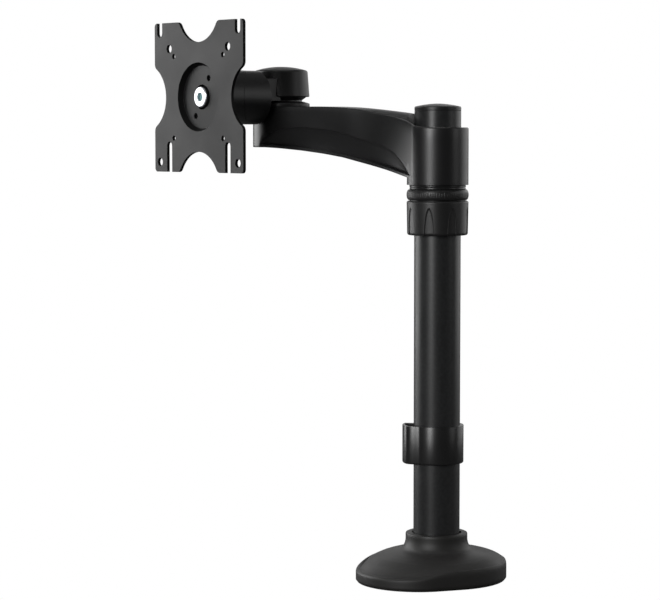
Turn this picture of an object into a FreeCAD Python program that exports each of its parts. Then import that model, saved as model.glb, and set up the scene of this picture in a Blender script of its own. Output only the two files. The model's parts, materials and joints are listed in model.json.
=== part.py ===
import FreeCAD, Part
import math
import os
import Sketcher

# Single monitor arm on a round post.
# Row frame: +Z up, origin on the post axis at the underside of the base, screen plate facing -Y.
# All lengths are millimetres and all angles are degrees.

PARTS_FOLDER = "parts"

# alias, value: the driving dimensions, kept in the spreadsheet
DIMENSIONS = (
    # base
    ("base_rear_radius", 53.0), ("base_front_radius", 46.0), ("base_front_reach", 19.8),
    ("cover_bottom", 0.0), ("cover_wall", 3.0), ("cover_crown", 19.6), ("cover_crown_start", 30.0),
    ("cover_dome_radius", 44.9), ("cover_dome_end", 55.0), ("cover_rim_height", 9.5),
    ("neck_radius", 23.4), ("neck_top", 35.0), ("neck_bore_radius", 18.3),
    ("pad_thickness", 2.0), ("pad_inset", 3.4), ("plate_thickness", 4.0),
    ("desk_bolt_radius", 5.5), ("desk_thread_radius", 4.25), ("desk_thread_depth", 30.0),
    ("flange_radius", 30.0), ("flange_thickness", 5.0), ("boss_height", 33.0),
    ("base_screw_circle", 23.0), ("base_screw_radius", 2.5), ("base_screw_head", 4.8),
    # post
    ("post_radius", 17.5), ("post_wall", 2.0), ("post_top", 353.0), ("post_cap_top", 358.3),
    ("post_cap_edge", 356.2), ("post_cap_depth", 12.0), ("post_screw_height", 28.0),
    ("post_screw_radius", 3.0),
    # cable clip
    ("clip_bottom", 88.1), ("clip_height", 28.7), ("clip_radius", 20.2), ("clip_bore", 17.65),
    ("clip_loop_radius", 26.0), ("clip_loop_wall", 2.0), ("clip_loop_heading", -115.0),
    ("clip_loop_spread", 66.0), ("clip_end_spread", 5.0), ("clip_slit", 2.5),
    # lock collar
    ("collar_bottom", 260.0), ("collar_top", 285.7), ("collar_top_radius", 23.2),
    ("collar_bottom_radius", 22.8), ("collar_bore", 20.9), ("collar_lip_bore", 17.9),
    ("flute_depth", 0.7), ("flute_radius", 4.3), ("flute_first", -13.4),
    ("ring_bottom", 286.2), ("ring_top", 294.2), ("ring_radius", 23.3), ("ring_barrel", 6.5),
    ("sleeve_radius", 20.8), ("sleeve_bottom", 267.0), ("collet_radius", 19.3),
    ("collet_bore", 17.56), ("washer_radius", 21.2), ("washer_bore", 17.7), ("washer_top", 297.6),
    # arm casting
    ("arm_length", 149.0), ("arm_heading", 193.5), ("hub_radius", 23.1), ("hub_bottom", 297.65),
    ("hub_top", 340.5), ("hub_bore", 20.05), ("post_bush_length", 14.0), ("post_bush_bore", 17.56),
    ("front_hub_radius", 22.2), ("front_hub_bottom", 325.1), ("front_hub_top", 356.6),
    ("beam_taper", 6.8), ("beam_waist", 68.0), ("flare_angle", 22.6),
    ("beam_knee", 62.0), ("beam_knee_height", 313.9), ("beam_root", 12.0),
    ("beam_root_height", 302.5), ("beam_top_start", 105.0), ("beam_top_knee", 55.0),
    ("beam_top_knee_height", 354.6), ("beam_top_root_height", 351.2), ("cap_notch_radius", 24.0),
    ("channel_width", 18.0), ("channel_start", 33.0), ("channel_end", 121.0),
    ("channel_roof", 4.5), ("strip_thickness", 2.0), ("hub_screw_height", 319.0),
    ("hub_screw_radius", 4.0),
    # swivel pivot
    ("pivot_radius", 6.0), ("pivot_bush_radius", 9.0), ("pivot_bush_length", 7.0),
    ("pivot_recess_radius", 13.0), ("pivot_recess_top", 341.0), ("swivel_washer_radius", 22.4),
    ("swivel_washer_top", 360.8), ("pivot_nut_width", 18.0), ("pivot_nut_height", 11.0),
    ("pivot_head_width", 19.0), ("pivot_head_height", 7.0), ("pivot_seat", 375.0),
    # swivel head and tilt barrel
    ("head_bottom", 364.5), ("head_neck_radius", 16.4), ("head_core_radius", 17.4),
    ("head_core_top", 383.0), ("head_lip_radius", 19.6), ("bridge_half", 14.5),
    ("bridge_top", 378.2), ("cap_bottom_radius", 22.2), ("cap_top_radius", 20.9),
    ("cap_edge", 385.4), ("cap_top", 388.0),
    ("tilt_height", 363.7), ("barrel_radius", 20.85), ("barrel_rear", 25.8),
    ("tilt_reach", 30.0), ("knuckle_radius", 22.3), ("knuckle_gap", 0.3),
    ("socket_radius", 20.95), ("socket_front", 65.0), ("tongue_width", 14.0), ("tongue_half", 6.8),
    ("tilt_pin_radius", 3.0), ("tilt_washer", 1.0), ("tilt_head_radius", 5.0),
    ("tilt_swing_half", 14.6), ("spindle_radius", 5.0), ("spindle_depth", 19.0),
    # rotation joint and screen plate
    ("friction_disc", 0.9), ("rotor_radius", 20.5), ("rotor_thickness", 8.4),
    ("rotor_pocket_radius", 9.5), ("rotor_pocket_depth", 2.4), ("screw_washer", 1.2),
    ("spindle_head_radius", 8.0), ("spindle_head_height", 6.0), ("screw_sink", 1.7),
    ("spindle_key", 6.0), ("spindle_key_depth", 3.4), ("plug_height", 1.2),
    ("rotor_screw_circle", 16.6), ("rotor_screw_angle", 60.0), ("rotor_screw_radius", 2.3),
    ("plate_face", 81.0), ("plate_sheet", 2.5), ("plate_half_width", 56.75),
    ("plate_half_height", 57.6), ("dish_radius", 26.3), ("dish_floor_radius", 24.0),
    ("dish_depth", 4.0), ("top_notch_radius", 26.5), ("top_notch_depth", 15.8),
    ("side_notch_radius", 25.5), ("side_notch_depth", 14.8), ("plate_corner", 3.0),
    ("notch_corner", 5.0), ("vesa_small", 75.0), ("vesa_large", 100.0),
    ("vesa_hole_radius", 3.25), ("spare_hole_pitch", 63.0), ("spare_hole_radius", 2.0),
)

doc = FreeCAD.newDocument("MonitorArm")
sheet = doc.addObject("Spreadsheet::Sheet", "dims")
for row, (alias, value) in enumerate(DIMENSIONS, start=1):
    sheet.set("A%d" % row, alias)
    sheet.set("B%d" % row, str(value))
    sheet.setAlias("B%d" % row, alias)
doc.recompute()

PIVOT_X = "dims.arm_length * cos(dims.arm_heading * 1deg)"
PIVOT_Y = "dims.arm_length * sin(dims.arm_heading * 1deg)"

nodes = {}


def keep(node, shape_object):
    """Label the finished sub-part and list it for the files."""
    shape_object.Label = node
    nodes[node] = shape_object
    return shape_object


# ---------------------------------------------------------------- sketches and bodies

def plane(body, role):
    return next(item for item in body.Origin.OriginFeatures if item.Role == role)


def new_sketch(body, name, role="XY_Plane", offset="0"):
    """Sketch on an origin plane of its own body, moved along the plane's normal by an expression."""
    sketch = body.newObject("Sketcher::SketchObject", name)
    sketch.AttachmentSupport = [(plane(body, role), "")]
    sketch.MapMode = "FlatFace"
    sketch.setExpression(".AttachmentOffset.Base.z", offset)
    doc.recompute()
    return sketch


def number(sketch, expression):
    return float(sketch.evalExpression(expression))


def pin_point(sketch, geometry, corner, expressions):
    """Fix one sketch point at (x, y), both given as expressions."""
    for kind, expression in zip(("DistanceX", "DistanceY"), expressions):
        value = number(sketch, expression)
        index = sketch.addConstraint(Sketcher.Constraint(kind, -1, 1, geometry, corner, value))
        sketch.setExpression("Constraints[%d]" % index, expression)


def draw_circle(sketch, radius, x="0", y="0"):
    centre = FreeCAD.Vector(number(sketch, x), number(sketch, y), 0)
    circle = Part.Circle(centre, FreeCAD.Vector(0, 0, 1), number(sketch, radius))
    index = sketch.addGeometry(circle, False)
    pin_point(sketch, index, 3, (x, y))
    value = number(sketch, radius)
    rule = sketch.addConstraint(Sketcher.Constraint("Radius", index, value))
    sketch.setExpression("Constraints[%d]" % rule, radius)


def draw_outline(sketch, corners):
    """Closed outline. A corner is (x, y), or (x, y, radius) where an arc leads to the next corner.

    A positive radius bends to the left of the direction of travel, a negative one to the right."""
    points = [FreeCAD.Vector(number(sketch, c[0]), number(sketch, c[1]), 0) for c in corners]
    ends = []
    for i, corner in enumerate(corners):
        start, end = points[i], points[(i + 1) % len(points)]
        if len(corner) == 2:
            index = sketch.addGeometry(Part.LineSegment(start, end), False)
            ends.append((index, 1, 2))
            continue
        bend = number(sketch, corner[2])
        radius = abs(bend)
        chord = end - start
        rise = math.sqrt(max(radius ** 2 - (chord.Length / 2) ** 2, 0))
        left = FreeCAD.Vector(-chord.y, chord.x, 0).normalize()
        centre = (start + end) / 2 + left * math.copysign(rise, bend)
        first, last = (start, end) if bend > 0 else (end, start)
        angles = [math.atan2(p.y - centre.y, p.x - centre.x) for p in (first, last)]
        circle = Part.Circle(centre, FreeCAD.Vector(0, 0, 1), radius)
        index = sketch.addGeometry(Part.ArcOfCircle(circle, angles[0], angles[1]), False)
        rule = sketch.addConstraint(Sketcher.Constraint("Radius", index, radius))
        sketch.setExpression("Constraints[%d]" % rule, "abs(%s)" % corner[2])
        ends.append((index, 1, 2) if bend > 0 else (index, 2, 1))
    for i, (index, _, finish) in enumerate(ends):
        following, begin, _ = ends[(i + 1) % len(ends)]
        sketch.addConstraint(Sketcher.Constraint("Coincident", index, finish, following, begin))
    for (index, begin, _), corner in zip(ends, corners):
        pin_point(sketch, index, begin, corner[:2])


def new_body(node):
    return keep(node, doc.addObject("PartDesign::Body", node))


def turned(node, corners, body=None):
    """Piece turned about its own Z axis, from an outline of (radius, height) corners."""
    body = body or new_body(node)
    sketch = new_sketch(body, node + "_profile", "XZ_Plane")
    draw_outline(sketch, corners)
    turn = body.newObject("PartDesign::Revolution", node + "_turn")
    turn.Profile = sketch
    turn.ReferenceAxis = (sketch, ["V_Axis"])
    turn.Angle = 360
    doc.recompute()
    return body


def pad(body, name, sketch, length, midplane=False, back=False):
    feature = body.newObject("PartDesign::Pad", name)
    feature.Profile = sketch
    feature.setExpression("Length", length)
    feature.Midplane = midplane
    feature.Reversed = back
    doc.recompute()
    return feature


def pocket(body, name, sketch, length=None, midplane=False, back=False):
    """Cut along the sketch's normal: downwards unless back is set, and through all with no length."""
    before = body.Shape.Volume
    feature = body.newObject("PartDesign::Pocket", name)
    feature.Profile = sketch
    if length is None:
        feature.Type = 1
    else:
        feature.setExpression("Length", length)
    feature.Midplane = midplane
    feature.Reversed = back
    doc.recompute()
    if not body.Shape.Volume < before - 1e-3:
        raise RuntimeError("%s cuts nothing" % name)
    return feature


def drill(body, name, role, radius, x, y, offset="0", length=None, back=False, midplane=False):
    sketch = new_sketch(body, name + "_circle", role, offset)
    draw_circle(sketch, radius, x, y)
    return pocket(body, name, sketch, length, midplane, back)


def place(body, x="0", y="0", z="0", axis=(0, 0, 1), angle="0"):
    """Bind a sub-part's Placement: a turn about one axis, then a shift."""
    turn = FreeCAD.Rotation(FreeCAD.Vector(*axis), 1)
    body.Placement = FreeCAD.Placement(FreeCAD.Vector(0, 0, 0), turn)
    for field, expression in zip("xyz", (x, y, z)):
        body.setExpression(".Placement.Base.%s" % field, expression)
    body.setExpression(".Placement.Rotation.Angle", angle)
    doc.recompute()
    return body


def on_pivot(body):
    """Stand a piece on the swivel axis at the arm's front end."""
    return place(body, PIVOT_X, PIVOT_Y)


def on_spindle(body):
    """Lay a piece's Z axis along the screen plate's spindle, pointing out of the plate."""
    return place(body, PIVOT_X, PIVOT_Y, "dims.tilt_height", (1, 0, 0), "90")


def group(node, items):
    """Several equal solids in one node."""
    compound = doc.addObject("Part::Compound", node)
    compound.Links = items
    return keep(node, compound)


def hexagon(sketch, width):
    corners = []
    for i in range(6):
        reach = "%s / 2 / cos(30deg)" % width
        corners.append(("%s * cos(%ddeg)" % (reach, 60 * i), "%s * sin(%ddeg)" % (reach, 60 * i)))
    draw_outline(sketch, corners)


# ---------------------------------------------------------------- base

def base_outline(sketch, inset):
    """Egg-shaped plan: a large circle round the post and a smaller one in front, with tangents."""
    rear = "(dims.base_rear_radius - %s)" % inset
    front = "(dims.base_front_radius - %s)" % inset
    lean = "asin((dims.base_rear_radius - dims.base_front_radius) / dims.base_front_reach)"
    rear_x, rear_y = rear + " * cos(%s)" % lean, "-(%s) * sin(%s)" % (rear, lean)
    front_x = front + " * cos(%s)" % lean
    front_y = "-dims.base_front_reach - %s * sin(%s)" % (front, lean)
    draw_outline(sketch, [
        (rear_x, rear_y, rear),
        ("0", rear, rear),
        ("-" + rear_x, rear_y),
        ("-" + front_x, front_y, front),
        (front_x, front_y),
    ])


def base_slab(node, inset, bottom, thickness):
    body = new_body(node)
    sketch = new_sketch(body, node + "_outline", "XY_Plane", bottom)
    base_outline(sketch, inset)
    pad(body, node + "_pad", sketch, thickness)
    return body


def dome_profile(sketch, shrink):
    """Section of the cover: neck, crown and the flare that runs out to the rim."""
    reach = "dims.base_rear_radius + dims.base_front_reach"
    crown = "dims.cover_crown - %s" % shrink
    radius = "dims.cover_dome_radius - %s" % shrink
    drop = "(dims.cover_dome_end - dims.cover_crown_start)"
    dome_end = "%s - (%s) + sqrt((%s) ^ 2 - %s ^ 2)" % (crown, radius, radius, drop)
    rim = "dims.cover_rim_height - %s" % shrink
    neck = "dims.neck_radius - %s" % shrink
    draw_outline(sketch, [
        ("0", "dims.cover_bottom"),
        (reach, "dims.cover_bottom"),
        (reach, rim),
        ("dims.cover_dome_end + 11", rim, "-40"),
        ("dims.cover_dome_end", dome_end, radius),
        ("dims.cover_crown_start", crown),
        ("%s + 4" % neck, "%s + 0.5" % crown, "-5"),
        (neck, "%s + 5" % crown),
        (neck, "dims.neck_top - %s" % shrink),
        ("0", "dims.neck_top - %s" % shrink),
    ])


def cover_solid(name, shrink, inset):
    """Dome of revolution clipped to the egg-shaped plan."""
    dome = doc.addObject("PartDesign::Body", name + "_dome")
    sketch = new_sketch(dome, name + "_section", "XZ_Plane")
    dome_profile(sketch, shrink)
    turn = dome.newObject("PartDesign::Revolution", name + "_turn")
    turn.Profile = sketch
    turn.ReferenceAxis = (sketch, ["V_Axis"])
    turn.Angle = 360
    plan = doc.addObject("PartDesign::Body", name + "_plan")
    outline = new_sketch(plan, name + "_outline", "XY_Plane", "dims.cover_bottom")
    base_outline(outline, inset)
    pad(plan, name + "_prism", outline, "dims.neck_top")
    both = doc.addObject("Part::Common", name + "_solid")
    both.Base, both.Tool = dome, plan
    doc.recompute()
    return both


def build_base():
    pad_body = base_slab("desk_pad", "dims.pad_inset", "0", "dims.pad_thickness")
    drill(pad_body, "desk_pad_hole", "XY_Plane", "dims.desk_bolt_radius", "0", "0", back=True)

    plate = base_slab("base_plate", "dims.pad_inset", "dims.pad_thickness", "dims.plate_thickness")
    drill(plate, "base_plate_hole", "XY_Plane", "dims.desk_bolt_radius", "0", "0", back=True)
    seat = "dims.base_screw_head - dims.base_screw_radius"
    for i in range(4):
        x = "dims.base_screw_circle * cos(%ddeg)" % (90 * i + 45)
        y = "dims.base_screw_circle * sin(%ddeg)" % (90 * i + 45)
        drill(plate, "screw_hole_%d" % i, "XY_Plane", "dims.base_screw_radius + 0.2", x, y, back=True)
        drill(plate, "screw_seat_%d" % i, "XY_Plane", "dims.base_screw_head + 0.2", x, y,
              "dims.pad_thickness", "%s + 0.3" % seat, back=True)

    floor = "dims.pad_thickness + dims.plate_thickness"
    flange_top = floor + " + dims.flange_thickness"
    boss = "dims.post_radius - dims.post_wall - 0.1"
    socket = turned("post_socket", [
        ("0", floor), ("dims.flange_radius", floor), ("dims.flange_radius", flange_top),
        (boss, flange_top), (boss, flange_top + " + dims.boss_height"),
        ("0", flange_top + " + dims.boss_height"),
    ])
    drill(socket, "desk_thread", "XY_Plane", "dims.desk_thread_radius", "0", "0", floor,
          "dims.desk_thread_depth", back=True)
    for i in range(4):
        x = "dims.base_screw_circle * cos(%ddeg)" % (90 * i + 45)
        y = "dims.base_screw_circle * sin(%ddeg)" % (90 * i + 45)
        drill(socket, "flange_thread_%d" % i, "XY_Plane", "dims.base_screw_radius", x, y, floor,
              "dims.flange_thickness", back=True)
    drill(socket, "post_screw_thread", "YZ_Plane", "dims.post_screw_radius", "0",
          "dims.post_screw_height", midplane=True)

    screws = []
    for i in range(4):
        name = "base_screw_%d" % i
        screw = doc.addObject("PartDesign::Body", name)
        head = "dims.base_screw_head"
        turned(name, [
            ("0", "dims.pad_thickness + 0.05"), (head, "dims.pad_thickness + 0.05"),
            ("dims.base_screw_radius - 0.05", "dims.pad_thickness + 0.05 + " + seat),
            ("dims.base_screw_radius - 0.05", flange_top + " - 0.3"), ("0", flange_top + " - 0.3"),
        ], screw)
        place(screw, "dims.base_screw_circle * cos(%ddeg)" % (90 * i + 45),
              "dims.base_screw_circle * sin(%ddeg)" % (90 * i + 45))
        screws.append(screw)
    group("base_screws", screws)

    outer = cover_solid("cover_outer", "0", "0")
    inner = cover_solid("cover_inner", "dims.cover_wall", "dims.cover_wall")
    shell = doc.addObject("Part::Cut", "cover_shell")
    shell.Base, shell.Tool = outer, inner
    bore = doc.addObject("Part::Cylinder", "cover_bore")
    bore.setExpression("Radius", "dims.neck_bore_radius")
    bore.Height = 60
    cover = doc.addObject("Part::Cut", "base_cover")
    cover.Base, cover.Tool = shell, bore
    keep("base_cover", cover)


# ---------------------------------------------------------------- post and cable clip

def build_post():
    inner = "dims.post_radius - dims.post_wall"
    foot = "dims.pad_thickness + dims.plate_thickness + dims.flange_thickness"
    tube = turned("post_tube", [
        (inner, foot), ("dims.post_radius", foot),
        ("dims.post_radius", "dims.post_top"), (inner, "dims.post_top"),
    ])
    drill(tube, "post_screw_hole", "YZ_Plane", "dims.post_screw_radius", "0",
          "dims.post_screw_height", midplane=True)

    screws = []
    for i in range(2):
        name = "post_screw_%d" % i
        screw = doc.addObject("PartDesign::Body", name)
        turned(name, [
            ("0", "9"), ("dims.post_screw_radius - 0.05", "9"),
            ("dims.post_screw_radius - 0.05", "dims.post_radius - 0.2"),
            ("0", "dims.post_radius - 0.2"),
        ], screw)
        place(screw, "0", "0", "dims.post_screw_height", (0, 1, 0), "%d" % (90 + 180 * i))
        screws.append(screw)
    group("post_set_screws", screws)

    plug = inner + " - 0.1"
    turned("post_end_cap", [
        ("0", "dims.post_top"), (plug + " - 2", "dims.post_top"),
        (plug + " - 2", "dims.post_top - dims.post_cap_depth"),
        (plug, "dims.post_top - dims.post_cap_depth"), (plug, "dims.post_top"),
        ("dims.post_radius", "dims.post_top"), ("dims.post_radius", "dims.post_cap_edge - 1", "1"),
        ("dims.post_radius - 1", "dims.post_cap_edge", "78"), ("1", "dims.post_cap_top"),
        ("0", "dims.post_cap_top"),
    ])


def build_clip():
    """Open ring that snaps onto the post; a wider arc bridges its mouth and leaves room for cables."""
    first = "(dims.clip_loop_heading - dims.clip_loop_spread / 2)"

    def sector(name, radius, start="0", spread="360"):
        shape = doc.addObject("Part::Cylinder", name)
        shape.setExpression("Radius", radius)
        shape.setExpression("Height", "dims.clip_height")
        shape.setExpression("Angle", spread)
        return place(shape, "0", "0", "dims.clip_bottom", angle=start)

    outside = doc.addObject("Part::Fuse", "clip_outside")
    outside.Base = sector("clip_ring", "dims.clip_radius")
    outside.Tool = sector("clip_loop", "dims.clip_loop_radius", first, "dims.clip_loop_spread")
    channel = sector("clip_channel", "dims.clip_loop_radius - dims.clip_loop_wall",
                     first + " + dims.clip_end_spread",
                     "dims.clip_loop_spread - 2 * dims.clip_end_spread")
    hollow = doc.addObject("Part::Cut", "clip_hollow")
    hollow.Base, hollow.Tool = outside, channel
    bored = doc.addObject("Part::Cut", "clip_bored")
    bored.Base, bored.Tool = hollow, sector("clip_bore_tool", "dims.clip_bore")
    slit = doc.addObject("Part::Box", "clip_slit_tool")
    slit.setExpression("Length", "12")
    slit.setExpression("Width", "dims.clip_slit")
    slit.setExpression("Height", "dims.clip_height + 10")
    middle = "(%s + dims.clip_end_spread / 2)" % first
    place(slit, "15 * cos(%s * 1deg) + dims.clip_slit / 2 * sin(%s * 1deg)" % (middle, middle),
          "15 * sin(%s * 1deg) - dims.clip_slit / 2 * cos(%s * 1deg)" % (middle, middle),
          "dims.clip_bottom - 5", angle=middle)
    clip = doc.addObject("Part::Cut", "cable_clip")
    clip.Base, clip.Tool = bored, slit
    keep("cable_clip", clip)


# ---------------------------------------------------------------- lock collar

def build_collar():
    lip = "dims.collar_bottom + 4"
    collar = turned("twist_collar", [
        ("dims.collar_lip_bore", "dims.collar_bottom"),
        ("dims.collar_bottom_radius - 1.5", "dims.collar_bottom", "1.5"),
        ("dims.collar_bottom_radius", "dims.collar_bottom + 1.5"),
        ("dims.collar_top_radius", "dims.collar_top - 1"),
        ("dims.collar_top_radius - 1", "dims.collar_top"),
        ("dims.collar_bore", "dims.collar_top"), ("dims.collar_bore", lip),
        ("dims.collar_lip_bore", lip),
    ])
    for i in range(8):
        angle = "(dims.flute_first + %d) * 1deg" % (45 * i)
        reach = "(dims.collar_bottom_radius + dims.flute_radius - dims.flute_depth)"
        drill(collar, "flute_%d" % i, "XY_Plane", "dims.flute_radius",
              "%s * cos(%s)" % (reach, angle), "%s * sin(%s)" % (reach, angle),
              "dims.collar_bottom", "dims.collar_top - dims.collar_bottom - 8", back=True)

    turned("lock_ring", [
        ("dims.collet_radius + 0.1", "dims.sleeve_bottom"),
        ("dims.sleeve_radius", "dims.sleeve_bottom"), ("dims.sleeve_radius", "dims.ring_bottom"),
        ("dims.ring_radius - 1.8", "dims.ring_bottom", "dims.ring_barrel"),
        ("dims.ring_radius - 1.8", "dims.ring_top"), ("dims.washer_bore", "dims.ring_top"),
        ("dims.washer_bore", "dims.ring_top - 3"),
        ("dims.collet_radius + 0.1", "dims.ring_top - 3"),
    ])

    collet = turned("collet_sleeve", [
        ("dims.collet_bore", "dims.sleeve_bottom - 2"),
        ("dims.collet_radius", "dims.sleeve_bottom - 2"),
        ("dims.collet_radius", "dims.ring_top - 3.2"),
        ("dims.collet_bore", "dims.ring_top - 3.2"),
    ])
    for i in range(3):
        sketch = new_sketch(collet, "collet_slot_%d_line" % i, "XY_Plane", "dims.sleeve_bottom - 2")
        turn = "%ddeg" % (60 * i)
        corners = []
        for along, across in ((-22, -0.75), (22, -0.75), (22, 0.75), (-22, 0.75)):
            corners.append(("%s * cos(%s) - %s * sin(%s)" % (along, turn, across, turn),
                            "%s * sin(%s) + %s * cos(%s)" % (along, turn, across, turn)))
        draw_outline(sketch, corners)
        pocket(collet, "collet_slot_%d" % i, sketch, "18", back=True)

    turned("bearing_washer", [
        ("dims.washer_bore", "dims.ring_top"), ("dims.washer_radius - 0.4", "dims.ring_top", "1.2"),
        ("dims.washer_radius - 0.4", "dims.ring_top + 1.6", "1.2"),
        ("dims.washer_radius - 0.4", "dims.washer_top"), ("dims.washer_bore", "dims.washer_top"),
    ])


# ---------------------------------------------------------------- arm

def along_arm(body):
    """Turn a piece drawn with +X along the arm to the arm's heading."""
    return place(body, angle="dims.arm_heading")


def build_arm():
    arm = new_body("arm_casting")
    length, hub, front = "dims.arm_length", "dims.hub_radius", "dims.front_hub_radius"
    taper, flare = "(dims.beam_taper * 1deg)", "(dims.flare_angle * 1deg)"
    waist_width = "(%s / cos(%s) - (%s - dims.beam_waist) * tan(%s))" % (front, taper, length, taper)
    inside = "(%s - 0.2)" % hub
    flare_x, flare_y = "%s * sin(%s)" % (inside, flare), "%s * cos(%s)" % (inside, flare)
    front_x, front_y = "%s - %s * sin(%s)" % (length, front, taper), "%s * cos(%s)" % (front, taper)
    chord = "sqrt((dims.beam_waist - %s) ^ 2 + (%s - %s) ^ 2)" % (flare_x, flare_y, waist_width)
    fillet = "(%s / 2 / sin((%s + %s) / 2))" % (chord, taper, flare)
    plan = new_sketch(arm, "arm_plan", "XY_Plane", "dims.hub_bottom")
    draw_outline(plan, [
        (flare_x, flare_y), (flare_x, "-" + flare_y, "-" + fillet),
        ("dims.beam_waist", "-" + waist_width), (front_x, "-" + front_y, front),
        ("%s + %s" % (length, front), "0", front), (front_x, front_y),
        ("dims.beam_waist", waist_width, "-" + fillet),
    ])
    pad(arm, "arm_blank", plan, "dims.front_hub_top - dims.hub_bottom")

    over = new_sketch(arm, "arm_top_line", "XZ_Plane")
    top = "dims.front_hub_top"
    draw_outline(over, [
        ("dims.beam_top_start", top, "449"), ("dims.beam_top_knee", "dims.beam_top_knee_height"),
        ("dims.cap_notch_radius", "dims.beam_top_root_height"),
        ("-40", "dims.beam_top_root_height"), ("-40", top + " + 20"),
        ("dims.beam_top_start", top + " + 20"),
    ])
    pocket(arm, "arm_top_cut", over, midplane=True)

    under = new_sketch(arm, "arm_bottom_line", "XZ_Plane")
    draw_outline(under, [
        ("-40", "dims.beam_root_height"), ("-40", "dims.hub_bottom - 10"),
        ("%s + 40" % length, "dims.hub_bottom - 10"), ("%s + 40" % length, "dims.front_hub_bottom"),
        (length, "dims.front_hub_bottom", "475"),
        ("dims.beam_knee", "dims.beam_knee_height"),
        ("dims.beam_root", "dims.beam_root_height"),
    ])
    pocket(arm, "arm_bottom_cut", under, midplane=True)

    hub_sketch = new_sketch(arm, "post_hub_circle", "XY_Plane", "dims.hub_bottom")
    draw_circle(hub_sketch, hub)
    pad(arm, "post_hub", hub_sketch, "dims.hub_top - dims.hub_bottom")
    drill(arm, "cap_notch", "XY_Plane", "dims.cap_notch_radius", "0", "0", "dims.hub_top", back=True)
    drill(arm, "post_bore", "XY_Plane", "dims.hub_bore", "0", "0", "dims.hub_bottom", back=True)

    channel = new_sketch(arm, "cable_channel_line", "XZ_Plane")
    draw_outline(channel, [
        ("dims.channel_start", "dims.hub_bottom"), ("dims.channel_end", "dims.hub_bottom"),
        ("dims.channel_end", top + " - dims.channel_roof"),
        ("dims.beam_top_knee", "dims.beam_top_knee_height - dims.channel_roof - 0.5"),
        ("dims.channel_start", "dims.beam_top_root_height - dims.channel_roof"),
    ])
    pocket(arm, "cable_channel", channel, "dims.channel_width", midplane=True)

    drill(arm, "pivot_bore", "XY_Plane", "dims.pivot_bush_radius + 0.03", length, "0",
          "dims.hub_bottom", back=True)
    drill(arm, "pivot_recess", "XY_Plane", "dims.pivot_recess_radius", length, "0",
          "dims.hub_bottom", "dims.pivot_recess_top - dims.hub_bottom", back=True)
    drill(arm, "tension_thread", "YZ_Plane", "dims.hub_screw_radius", "0", "dims.hub_screw_height",
          length="dims.hub_radius + 5")
    along_arm(arm)

    strip = new_body("arm_channel_cover")
    section = new_sketch(strip, "strip_line", "XZ_Plane")
    knee = "(dims.beam_knee_height + %s)"
    root = "(dims.beam_knee_height - (dims.beam_knee - dims.channel_start - 0.2) * 0.24 + %s)"
    end = "(dims.beam_knee_height + 9.2 + %s)"
    low, high = "0.2", "0.2 + dims.strip_thickness"
    draw_outline(section, [
        ("dims.channel_start + 0.2", root % low), ("dims.beam_knee", knee % low, "-475"),
        ("dims.channel_end - 0.2", end % low), ("dims.channel_end - 0.2", end % high),
        ("dims.beam_knee", knee % high), ("dims.channel_start + 0.2", root % high),
    ])
    pad(strip, "strip_pad", section, "dims.channel_width - 0.2", midplane=True)
    along_arm(strip)

    for node, low_end in (("post_bush_lower", "dims.hub_bottom"),
                          ("post_bush_upper", "dims.hub_top - dims.post_bush_length")):
        high_end = low_end + " + dims.post_bush_length"
        turned(node, [
            ("dims.post_bush_bore", low_end), ("dims.hub_bore - 0.03", low_end),
            ("dims.hub_bore - 0.03", high_end), ("dims.post_bush_bore", high_end),
        ])

    screw = turned("hub_tension_screw", [
        ("0", "dims.post_radius + 0.1"), ("dims.hub_screw_radius - 0.05", "dims.post_radius + 0.1"),
        ("dims.hub_screw_radius - 0.05", "dims.hub_radius - 0.6"), ("1.6", "dims.hub_radius - 0.6"),
        ("1.6", "dims.hub_radius - 3"), ("0", "dims.hub_radius - 3"),
    ])
    place(screw, "0", "0", "dims.hub_screw_height", (0, 1, 0), "90")
    turn = FreeCAD.Rotation(FreeCAD.Vector(0, 0, 1), number(over, "dims.arm_heading") + 180)
    screw.setExpression(".Placement.Rotation.Angle", None)
    lay = FreeCAD.Rotation(FreeCAD.Vector(0, 1, 0), 90)
    screw.Placement.Rotation = turn.multiply(lay)


# ---------------------------------------------------------------- swivel pivot

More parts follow.
